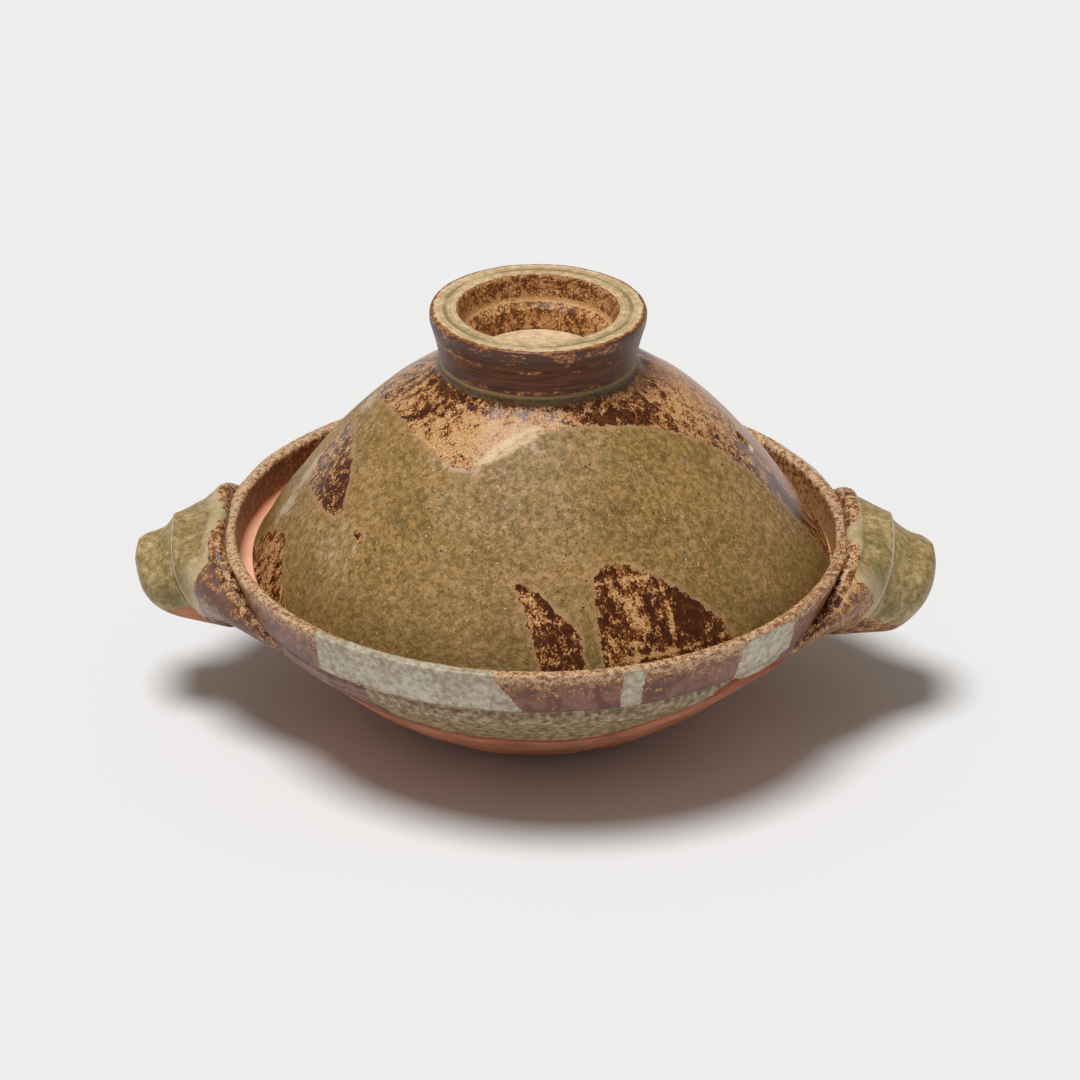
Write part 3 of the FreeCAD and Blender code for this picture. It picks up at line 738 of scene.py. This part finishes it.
# Painted highlight on the edge of the steam hole
HOLE_HIGHLIGHT_CREAM = (236, 218, 186)
BLISTER_BROWN = (54, 34, 30)
SEAT_DARK = (196, 138, 108)
SEAT_PALE = (220, 156, 124)
KNOB_TONES = [(0.36, (68, 38, 24)), (0.62, (114, 66, 42))]
KNOB_MAUVE = (88, 60, 50)
KNOB_TAN = (182, 130, 80)
KNOB_FOOT = (150, 128, 84)
KNOB_INSIDE = (104, 62, 34)
FACE_TONES = [(0.28, (228, 202, 164)), (0.42, (202, 172, 126)), (0.66, (150, 132, 92))]
FACE_LINE = (150, 124, 84)
FLASH = (150, 68, 40)
LIP_BROWN = (126, 80, 58)
LIP_CREAM = (220, 186, 146)
GALLERY_BROWN = (116, 60, 30)
SKIRT_TONES = [(0.36, (108, 88, 54)), (0.5, (146, 124, 90)), (0.62, (184, 162, 130))]
# Painted shadow under the rim band
BAND_FOOT_SHADOW = (52, 42, 24)
LEDGE_DARK = (236, 166, 130)
LEDGE_PALE = (250, 190, 154)
INSIDE_BROWN = (92, 54, 32)
LEAF_TONES = [(0.36, (122, 102, 54)), (0.47, (150, 126, 76)), (0.58, (178, 154, 106)),
              (0.7, (214, 194, 156))]
POOL_GREEN = (112, 108, 58)
# Painted glints on the olive glaze of the handles
LEAF_GLINT = (226, 210, 176)
RIDGE_PALE = (214, 196, 166)
# Painted shadow beside the ridge of the handles
RIDGE_SHADOW = (84, 74, 48)
HALO_CREAM = (218, 196, 158)
MATT_BROWN = (112, 84, 74)
ROLL_TAN = (220, 182, 134)


# Coats

def ash(paint, seed):
    """Olive and tan mottled ash glaze with pink blobs, green specks, pits and pale glints."""
    cloud = paint.noise(24, seed)
    mottle = paint.noise(2.8, seed + 1, 4, 0.72)
    fine = paint.noise(0.9, seed + 2)
    tone = mottle * 0.9 + cloud * 0.2 + fine * 0.45 - 0.275
    colour = paint.tones(tone, ASH_TONES)
    colour = paint.mix(paint.noise(7, seed + 3, 3, 0.65).rise(0.5, 0.66) * 0.38, colour, OLIVE)
    colour = paint.mix(paint.spots(2.3, 0.34, seed + 4) * 0.6, colour, GREEN_SPECK)
    colour = paint.mix(paint.spots(4.1, 0.42, seed + 5) * 0.75, colour, GLINT)
    colour = paint.mix(paint.spots(7.5, 0.55, seed + 6), colour, BLACK_PIT)
    relief = paint.noise(2.1, seed + 7) * 0.45 + mottle * 0.35
    return colour, mottle * -0.3 + 0.66, relief


def iron(paint, seed, tan, ground, gloss=0.24, size=0.85, stretch=(1, 1, 1), pale=TAN):
    """Brown glaze on a ground, broken by pale specks of a size in mm, with small cream spots painted on
    as glints. Tan is how far the specks cover it, from about -0.3 to 0.3, and gloss is its roughness."""
    grain = paint.noise(size, seed, 3, 0.62, stretch)
    clumps = paint.noise(size * 4, seed + 1, 3, 0.6, stretch)
    cover = grain * 0.8 + clumps * 0.9 - 0.35 + tan
    colour = paint.mix(cover.rise(0.43, 0.54), ground, OCHRE)
    crumbs = paint.noise(size * 0.8, seed + 2)
    colour = paint.mix((cover + (crumbs - 0.5) * 0.6).rise(0.5, 0.62), colour, pale)
    # Small cream spots painted as glints, a little raised
    painted_glints = crumbs.rise(0.52, 0.64) * cover.rise(0.46, 0.62)
    colour = paint.mix(painted_glints * 0.8, colour, CREAM)
    return colour, cover.rise(0.45, 0.65) * 0.1 + gloss, grain * 0.16 + painted_glints * 0.06


def celadon(paint, seed):
    """Pale grey-green glaze with cream veils and dark specks."""
    tone = paint.noise(2.6, seed, 4, 0.62) * 0.7 + paint.noise(14, seed + 1) * 0.3
    colour = paint.tones(tone, CELADON_TONES)
    colour = paint.mix(paint.spots(3.2, 0.34, seed + 2) * 0.5, colour, GREEN_SPECK)
    return colour, 0.4, paint.noise(1.8, seed + 3) * 0.3


def clay(paint, seed, dark, light):
    """Bare fired clay with fine grit and faint turning lines."""
    cloud = paint.noise(18, seed, 3, 0.6, (1.6, 1.6, 1))
    grit = paint.noise(0.8, seed + 1, 2, 0.6)
    lines = paint.noise(1.4, seed + 2, 2, 0.6, (14, 14, 1))
    tone = cloud * 0.6 + grit * 0.25 + lines * 0.35 - 0.1
    colour = paint.tones(tone, [(0.4, dark), (0.62, light)])
    return colour, 0.85, lines * 0.35 + grit * 0.2


# Materials

def jagged(paint, field, seed, wide=2.6, fine=1):
    """A distance field with an uneven edge, moved by this many mm in wide and in fine waves."""
    broad, narrow = paint.noise(3.2, seed) - 0.5, paint.noise(0.9, seed + 1) - 0.5
    return field + broad * wide * 2 + narrow * fine * 2


def lid_material():
    paint = Paint("lid_ash_and_iron")
    height = paint.field("height")
    paint.coat = ash(paint, 1)
    low = (height + paint.noise(16, 11) * 24 - 12).rise(100, 66)
    paint.tint(low * 0.5, ASH_DARK)
    zone = jagged(paint, paint.field("iron"), 13)
    paint.tint(zone.rise(-2.4, -0.6) * 0.45, ASH_PINK)
    purple = (paint.field("purple") + paint.noise(6, 15) * 8 - 4).rise(-2.5, 2.5)
    ground = paint.mix(paint.noise(3, 16, 3).rise(0.45, 0.75), IRON_DARK, IRON_RED)
    ground = paint.mix(purple, ground, LID_MAUVE)
    lines = jagged(paint, paint.field("lines"), 17, 0.9, 0.9).rise(-0.5, 0.5)
    tan = paint.field("tan") + lines * 0.15 + purple * -0.03 - 0.03
    speckle = iron(paint, 18, tan, ground, stretch=(1, 1, 1.6))
    # Painted sheen: pale cream spots on the dome, where light would glance off the glaze
    veil = (paint.field("veil") + (paint.noise(2.4, 33, 4, 0.65, (1, 1, 2.5)) - 0.5) * 3.2).rise(0.2, 1.1)
    paint.tint(veil * 0.6, SHEEN_CREAM)
    paint.cover(zone.rise(-0.25, 0.25), speckle)
    streak = jagged(paint, paint.field("streak"), 21, 1.4, 0.9).rise(-1.2, 1.2)
    broken = paint.noise(1.6, 27, 3, 0.6, (3, 3, 1)).rise(0.3, 0.55)
    paint.tint(streak * broken * 0.85, STREAK_CREAM)
    neck = (height + paint.noise(2.5, 22) * 2 - 1).rise(CROWN - 3.5, CROWN - 2.2)
    paint.cover(neck, (paint.tones(paint.noise(1.6, 23), NECK_TONES), 0.5, 0))
    paint.tint(height.rise(CROWN - 0.6, CROWN + 0.3) * 0.7, NECK_LINE)
    well = paint.tones(paint.noise(1.2, 24, 3) * 0.6 + paint.noise(6, 25) * 0.4, WELL_TONES)
    paint.cover(height.rise(KNOB_FLOOR - 1.5, KNOB_FLOOR - 0.5), (well, 0.45, 0))
    hole = (paint.field("hole") + paint.noise(1, 26) * 0.8 - 0.4).rise(4, 3)
    paint.tint(hole * 0.8, HOLE_SHADE)
    # A painted highlight on the lower edge of the steam hole
    paint.tint(paint.field("hole_highlight").rise(0.3, 0.5), HOLE_HIGHLIGHT_CREAM)
    paint.tint(paint.field("blister").rise(0.3, 0.5), BLISTER_BROWN)
    paint.cover(height.rise(SEAT - 0.1, SEAT - 1.1), iron(paint, 28, 0.02, IRON_RED, 0.4))
    seat = (height + paint.noise(2, 31) * 0.8).rise(SEAT - 1.2, SEAT - 2)
    seat = seat * (height + paint.noise(2, 31)).rise(SEAT - 11, SEAT - 10)
    paint.cover(seat, clay(paint, 32, SEAT_DARK, SEAT_PALE))
    return paint.finish()


def knob_material():
    paint = Paint("knob_iron_and_cream")
    height = paint.field("height")
    brushed = paint.noise(1.3, 1, 3, 0.62, (12, 12, 1))
    ground = paint.tones(brushed, KNOB_TONES)
    upper = (height + brushed * 4 - 2).rise(KNOB_TOP - 8.4, KNOB_TOP - 5.9)
    ground = paint.mix(upper * 0.75, ground, KNOB_MAUVE)
    streak = (height + paint.noise(9, 3) * 2.4 - 1.2).near(KNOB_TOP - 9.4, 1.2)
    streak = streak * paint.noise(9, 4).rise(0.44, 0.58)
    tan = height.rise(KNOB_TOP - 7.4, KNOB_TOP - 2.9) * 0.13 + streak * 0.28
    tan = tan + height.near(CROWN + 1.8, 1.6) * 0.12 - 0.2
    paint.coat = iron(paint, 5, tan - 0.02, ground, 0.4, 1, (2.4, 2.4, 1), pale=KNOB_TAN)
    paint.tint(height.rise(CROWN + 1.1, CROWN + 0.4) * 0.8, KNOB_FOOT)
    inner = iron(paint, 9, (height - KNOB_STEP).near(0, 1.6) * 0.3 + 0.03, KNOB_INSIDE, 0.4, 1)
    paint.cover(height.rise(KNOB_INNER_EDGE, KNOB_INNER_EDGE + 0.3), inner)
    edge = (paint.noise(2.2, 12) - 0.5) * 2.2
    face = (height + edge).rise(KNOB_TOP - 0.2, KNOB_TOP + 0.3)
    face = face * (height + edge).rise(KNOB_INNER_EDGE + 0.7, KNOB_INNER_EDGE + 0.3)
    rings = paint.noise(0.7, 13, 2, 0.6, (26, 26, 1))
    pooled = paint.noise(2.6, 14, 3) * 0.7
    pooled = pooled + paint.field("groove") * paint.noise(24, 15).rise(0.3, 0.6) * 1.2
    cream = paint.mix(rings.rise(0.55, 0.7) * 0.35, paint.tones(pooled, FACE_TONES), FACE_LINE)
    paint.cover(face, (cream, 0.4, rings * 0.3))
    rim = (height + edge).near(KNOB_TOP - 0.1, 0.5) + (height + edge).near(KNOB_INNER_EDGE + 0.5, 0.5)
    paint.tint(rim * 0.7, OCHRE)
    return paint.finish()


def pot_material():
    paint = Paint("pot_clay_and_glaze")
    height = paint.field("height")
    paint.coat = clay(paint, 1, CLAY_DARK, CLAY_PALE)
    skirt = jagged(paint, paint.field("skirt"), 5, 2.2, 0.8)
    green = jagged(paint, paint.field("green"), 7, 3, 1).rise(-1, 1)
    paint.tint(skirt.rise(-5.5, -1) * skirt.rise(2, 0.5), FLASH)
    ground = paint.mix(paint.noise(7, 9).rise(0.4, 0.6), PURPLE_DARK, PURPLE)
    lip = (height + paint.noise(2.4, 10) * 4 - 2).rise(TOP - 6.5, TOP - 1.5)
    lip_inside = (height + paint.noise(2.4, 11) * 3 - 1.5).rise(LIP_END - 2, LIP_END + 0.5)
    ground = paint.mix(lip_inside, paint.mix(lip, ground, LIP_BROWN), GALLERY_BROWN)
    rising = height.rise(TOP - 18, TOP - 4) * 0.12 - 0.18
    tan = lip * 0.12 + lip_inside * -0.14 + rising + paint.field("tan")
    pale = paint.mix(lip * lip_inside.rise(1, 0.4), TAN, LIP_CREAM)
    colour, roughness, grain = iron(paint, 12, tan, ground, 0.32, 0.58, pale=pale)
    speckle = (colour, roughness, grain * (lip * 0.8 + 0.7))
    paint.cover(skirt.rise(-0.2, 0.2), speckle)
    veil = celadon(paint, 15)
    leaf = paint.tones(paint.noise(2.6, 19, 3, 0.6), SKIRT_TONES)
    below_band = skirt.rise(-0.2, 0.2) * green * height.rise(BAND_FOOT + 0.3, BAND_FOOT - 0.3)
    paint.cover(below_band, (leaf, 0.4, veil[2]))
    patch = jagged(paint, paint.field("celadon"), 21, 1.6, 0.8)
    paint.tint(patch.near(0, 1) * 0.5, OCHRE)
    paint.cover(patch.rise(-0.2, 0.3), veil)
    # A painted shadow line along the lower edge of the rim band
    paint.tint(height.near(BAND_FOOT, 1) * skirt.rise(-0.5, 0.5) * 0.75, BAND_FOOT_SHADOW)
    ledge = height.rise(LEDGE_START - 1.5, LEDGE_START - 0.8)
    ledge = ledge * height.rise(LEDGE_END + 1.5, LEDGE_END + 0.5)
    # Part of the ledge keeps the brown glaze as painted shade
    bare = jagged(paint, paint.field("painted_shade_ledge"), 24).rise(1, -1)
    paint.cover(ledge * bare, clay(paint, 26, LEDGE_DARK, LEDGE_PALE))
    inside = height.rise(LEDGE_END + 0.8, LEDGE_END + 1.6)
    paint.cover(inside, iron(paint, 29, -0.02, INSIDE_BROWN, 0.32, 1.6))
    return paint.finish()


def handle_material(name, seed, matt_tan, under):
    """Pale olive glaze on the sleeve and tip, brown on the roll and matt brown past it, which tan covers
    as far as matt_tan says; under is the coat below the tip."""
    paint = Paint(name)
    tone = paint.noise(3, seed, 4, 0.62) * 0.75 + paint.noise(12, seed + 1) * 0.25
    leaf = paint.tones(tone, LEAF_TONES)
    pool = (paint.field("pool") + (paint.noise(3, seed + 2) - 0.5) * 0.8).rise(0.25, 0.8)
    leaf = paint.mix(pool * 0.65, leaf, POOL_GREEN)
    # Fine pale spots painted as glints
    leaf = paint.mix(paint.noise(0.9, seed + 3, 3, 0.7).rise(0.58, 0.68) * 0.55, leaf, LEAF_GLINT)
    leaf = paint.mix(paint.noise(1.3, seed + 4).rise(0.6, 0.68) * 0.6, leaf, OCHRE)
    paint.coat = (leaf, 0.42, paint.noise(1.8, seed + 5) * 0.3)
    ridge = paint.field("ridge")
    wobble = paint.noise(3, seed + 6) - 0.5
    paint.tint((ridge + wobble).near(-0.3, 1) * 0.7, RIDGE_PALE)
    # A painted shadow line just past the ridge, on the side of the tip
    paint.tint((ridge + wobble).near(1.7, 0.8) * 0.6, RIDGE_SHADOW)
    zone = jagged(paint, paint.field("iron"), seed + 7, 2, 1)
    paint.tint(zone.rise(-10, -0.5) * 0.55, HALO_CREAM)
    along = paint.field("along")
    matt = (along + paint.noise(5, seed + 9) * 8 - 4).rise(7, 12)
    glossy = paint.mix(paint.noise(6, seed + 10).rise(0.4, 0.6), IRON_DARK, IRON_RED)
    ground = paint.mix(matt, glossy, MATT_BROWN)
    tan = zone.near(1.5, 3) * 0.05 + along.near(0, 6) * -0.03 + matt * matt_tan
    pale = paint.mix(along.rise(12, 4), TAN, ROLL_TAN)
    paint.cover(zone.rise(-0.2, 0.2), iron(paint, seed + 11, tan, ground, 0.26, 0.62, pale=pale))
    below = jagged(paint, paint.field("under"), seed + 14, 1.6, 0.6)
    paint.cover(below.rise(-0.3, 0.3), under(paint))
    return paint.finish()


# The pieces

def waves_under(turned, seed, depth, shortest, longest, radius):
    """An uneven surface that lies up to a depth under the turned one."""
    field = waves(seed, 24, shortest, longest, turned.turn, turned.along, radius)
    return (np.clip(field, -1, 1) - 1) * depth / 2


STEAM_HOLE = np.array([82.5, 0.8, 117.8])
STEAM_TILT = math.radians(49)
STEAM_RADIUS = 3
STEAM_AXIS = np.array([math.sin(STEAM_TILT), 0, math.cos(STEAM_TILT)])
CUTTER_LENGTH = 24


def from_steam_hole(turned):
    """How far each corner is from the axis of the steam hole."""
    shape = np.broadcast(turned.turn, turned.level).shape
    across = turned.centre + turned.radius * np.sin(turned.turn)
    depth = -turned.radius * np.cos(turned.turn)
    place = np.stack([across, depth, np.broadcast_to(turned.level, shape)], -1) - STEAM_HOLE
    return np.linalg.norm(place - (place @ STEAM_AXIS)[..., None] * STEAM_AXIS, axis=-1)


def cut_hole(piece, middle, tilt, radius, length):
    """Cuts a round hole whose axis leans to the right of straight up."""
    bpy.ops.mesh.primitive_cylinder_add(vertices=48, radius=radius * MM, depth=length * MM,
                                        location=middle * MM, rotation=(0, tilt, 0))
    cutter = bpy.context.object
    modifier = piece.modifiers.new("hole", "BOOLEAN")
    modifier.operation = "DIFFERENCE"
    modifier.object = cutter
    bpy.context.view_layer.objects.active = piece
    bpy.ops.object.modifier_apply(modifier=modifier.name)
    bpy.data.objects.remove(cutter)


pot_outside = pot.height < RIM_TOP + 1
bowl = pot.height < BAND_FOOT - 1
pot_fields = {
    "height": pot.height,
    "skirt": pot.inside([zone_above(SKIRT, LEDGE_END + 200)]),
    "green": pot.inside(POT_GREEN),
    "celadon": pot.inside(POT_CELADON),
    "painted_shade_ledge": pot.inside(POT_PAINTED_SHADE_LEDGE),
    "tan": pot.spots(POT_TAN),
}
RING_HEIGHT = 0.24
RING_SPACING = 3.9
BASE_EDGE = 4  # the turning rings of the bowl end at this height
rings = RING_HEIGHT / 2 * (np.cos(2 * math.pi * pot.along / RING_SPACING) - 1)
turning_rings = np.where(bowl & (pot.height > BASE_EDGE), rings, 0)
pot_swell = np.where(pot_outside, waves_under(pot, 5, 0.5, 22, 90, 120), 0) + turning_rings

lid_outside = lid.height > SEAT + 3
lid_fields = {
    "height": lid.height,
    "iron": lid.inside(LID_IRON),
    "lines": lid.inside(LID_LINES),
    "purple": lid.inside(LID_PURPLE),
    "streak": lid.inside(LID_STREAK),
    "tan": lid.spots(LID_TAN),
    "veil": lid.spots(LID_SHEEN_SPOTS),
    "blister": lid.spots(LID_BLISTER),
    "hole_highlight": lid.spots(LID_HOLE_HIGHLIGHT),
    "hole": from_steam_hole(lid),
}
GLAZE_STEP = 0.25  # how much thinner the brown glaze of the lid lies than the ash glaze
glaze_step = -GLAZE_STEP / (1 + np.exp(-lid_fields["iron"] / 0.5))
uneven_lid = waves_under(lid, 8, 0.5, 18, 80, 90) + glaze_step
lid_swell = np.where(lid_outside & (lid.height < CROWN - 1), uneven_lid, 0)

# Grooves in the top of the ring: place from its outer edge, depth, reach
KNOB_GROOVES = [(2.4, 0.12, 0.4), (4.6, 0.4, 0.9), (6.6, 0.16, 0.4), (8.4, 0.12, 0.35)]
groove = sum(depth * np.exp(-((knob.height - KNOB_TOP - place) / reach) ** 2)
             for place, depth, reach in KNOB_GROOVES)
knob_fields = {"height": knob.height, "groove": groove}
knob_swell = -groove + waves_under(knob, 11, 0.2, 10, 40, 42)

pieces = {
    "pot_bowl": pot.make("pot_bowl_glazed", pot_swell, pot_fields),
    "lid_dome": lid.make("lid_dome_glazed", lid_swell, lid_fields),
    "lid_knob_ring": knob.make("lid_knob_glazed", knob_swell, knob_fields),
    "handle_right": make_handle("handle_right_glazed", "handle_right", False),
    "handle_left": make_handle("handle_left_glazed", "handle_left", True),
}
cut_hole(pieces["lid_dome"], STEAM_HOLE, STEAM_TILT, STEAM_RADIUS, CUTTER_LENGTH)
MATERIALS = {
    "pot_bowl": pot_material(),
    "lid_dome": lid_material(),
    "lid_knob_ring": knob_material(),
    "handle_right": handle_material(
        "handle_right_glaze", 1, 0, lambda paint: iron(paint, 17, 0, PURPLE_DARK, 0.4)),
    "handle_left": handle_material(
        "handle_left_glaze", 31, -0.1, lambda paint: clay(paint, 47, CLAY_DARK, CLAY_PALE)),
}
BODIES = {"pot_bowl": "pot", "handle_left": "pot", "handle_right": "pot", "lid_dome": "lid",
          "lid_knob_ring": "lid"}
for node, piece in pieces.items():
    piece.data.materials.append(MATERIALS[node])
    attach(piece, BODIES[node])
    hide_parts(node)

# Floor, light and camera

FLOOR_RADIUS = 4
FLOOR_DROP = 0.0001
FLOOR_GREY = 0.84
bpy.ops.mesh.primitive_circle_add(vertices=128, radius=FLOOR_RADIUS, fill_type="NGON",
                                  location=(0, 0, -FLOOR_DROP))
floor = bpy.context.object
floor.name = "floor"
paper = bpy.data.materials.new("floor_paper")
paper.use_nodes = True
shader = paper.node_tree.nodes["Principled BSDF"]
shader.inputs["Base Color"].default_value = (FLOOR_GREY, FLOOR_GREY, FLOOR_GREY, 1)
shader.inputs["Roughness"].default_value = 0.9
floor.data.materials.append(paper)

LIGHT_DIRECTION = Vector((0.175, 0.13, -1))
sun = bpy.data.lights.new("softbox", "SUN")
sun.energy = 2.7
sun.color = (0.963, 0.984, 1)
sun.angle = 0.4
lamp = bpy.data.objects.new("softbox", sun)
lamp.rotation_mode = "QUATERNION"
lamp.rotation_quaternion = LIGHT_DIRECTION.to_track_quat("-Z", "Y")
bpy.context.scene.collection.objects.link(lamp)

world = bpy.data.worlds.new("studio")
bpy.context.scene.world = world
world.use_nodes = True
background = world.node_tree.nodes["Background"]
background.inputs["Color"].default_value = (1, 0.9, 0.82, 1)
background.inputs["Strength"].default_value = 0.22

CAMERA_ELEVATION = math.radians(27.595)
CAMERA_DISTANCE = 1.76616
CAMERA_TARGET = Vector((0.0017, 0, 0.0711))
CAMERA_ROLL = 0.007
SENSOR = 36
FOCAL_LENGTH = 145.15
camera_data = bpy.data.cameras.new("camera")
camera_data.sensor_width = SENSOR
camera_data.lens = FOCAL_LENGTH
camera = bpy.data.objects.new("camera", camera_data)
camera.location = CAMERA_TARGET + CAMERA_DISTANCE * Vector(
    (0, -math.cos(CAMERA_ELEVATION), math.sin(CAMERA_ELEVATION)))
turn_down = Matrix.Rotation(math.pi / 2 - CAMERA_ELEVATION, 3, "X")
roll = Matrix.Rotation(CAMERA_ROLL, 3, "Z")
camera.rotation_mode = "QUATERNION"
camera.rotation_quaternion = (turn_down @ roll).to_quaternion()
bpy.context.scene.collection.objects.link(camera)
bpy.context.scene.camera = camera
bpy.context.scene.view_settings.view_transform = "Standard"
